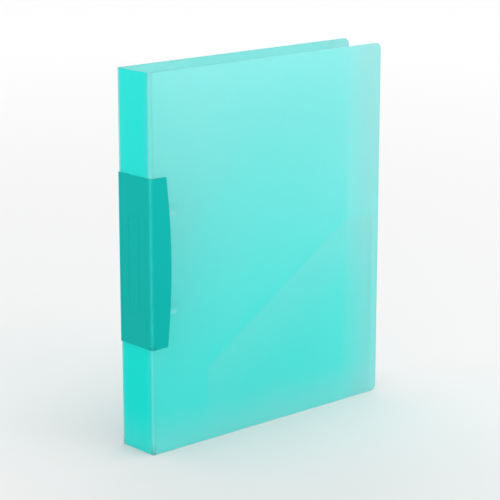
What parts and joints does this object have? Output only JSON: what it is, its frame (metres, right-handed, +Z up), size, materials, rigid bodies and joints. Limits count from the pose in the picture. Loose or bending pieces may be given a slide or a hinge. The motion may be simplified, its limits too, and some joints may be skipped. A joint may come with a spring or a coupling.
{
  "type": "ring binder",
  "caption": "Upright ring binder: folding translucent plastic covers, a band wrapped round the spine, a slanted inner pocket and a spring ring mechanism riveted inside the back cover.",
  "frame": {"origin": "middle of the footprint of the closed, upright binder, on its lower edges", "axes": "+Z up along the spine, +X from the spine to the fore-edge, +Y from the front cover to the back cover"},
  "size_m": [0.2578, 0.0428, 0.315],
  "materials": {
    "cover_sheet": "frosted translucent polypropylene, turquoise",
    "band_sheet": "fine matt polypropylene, deep teal",
    "pocket_film": "clear soft film",
    "plated_steel": "bright nickel plate",
    "plate_steel": "dull zinc plate",
    "rivet_steel": "nickel plate"
  },
  "bodies": {
    "back": {"back_cover": "cover_sheet", "band_back_tab": "band_sheet", "ring_housing": "plated_steel", "upper_rivet": "rivet_steel", "lower_rivet": "rivet_steel", "upper_rivet_sleeve": "plate_steel", "lower_rivet_sleeve": "plate_steel"},
    "spine": {"spine_panel": "cover_sheet", "band_spine": "band_sheet", "front_cover_fold": "cover_sheet", "back_cover_fold": "cover_sheet", "front_band_fold": "band_sheet", "back_band_fold": "band_sheet"},
    "front": {"front_cover": "cover_sheet", "band_front_tab": "band_sheet", "inner_pocket": "pocket_film"},
    "spine_side_jaw": {"spine_side_carrier_plate": "plate_steel", "upper_ring_spine_side_half": "plated_steel", "lower_ring_spine_side_half": "plated_steel"},
    "fore_edge_side_jaw": {"fore_edge_side_carrier_plate": "plate_steel", "upper_ring_fore_edge_side_half": "plated_steel", "lower_ring_fore_edge_side_half": "plated_steel"}
  },
  "joints": [
    {"name": "back_hinge", "type": "hinge", "parent": "back", "child": "spine", "pos_m": [-0.1269, 0.01815, 0.1575], "axis": [0, 0, -1], "range_deg": [0, 180], "deforming": ["back_cover_fold", "back_band_fold"]},
    {"name": "front_hinge", "type": "hinge", "parent": "spine", "child": "front", "pos_m": [-0.1269, -0.01945, 0.1575], "axis": [0, 0, -1], "range_deg": [0, 180], "deforming": ["front_cover_fold", "front_band_fold"]},
    {"name": "ring_opening", "type": "hinge", "parent": "back", "child": "spine_side_jaw", "pos_m": [-0.1095, 0.01655, 0.16], "axis": [0, 0, -1], "range_deg": [0, 18]},
    {"name": "fore_edge_ring_opening", "type": "hinge", "parent": "back", "child": "fore_edge_side_jaw", "pos_m": [-0.0947, 0.01655, 0.16], "axis": [0, 0, 1], "range_deg": [0, 18]}
  ],
  "couplings": [
    {"joint": "fore_edge_ring_opening", "follows": "ring_opening", "ratio": 1}
  ]
}
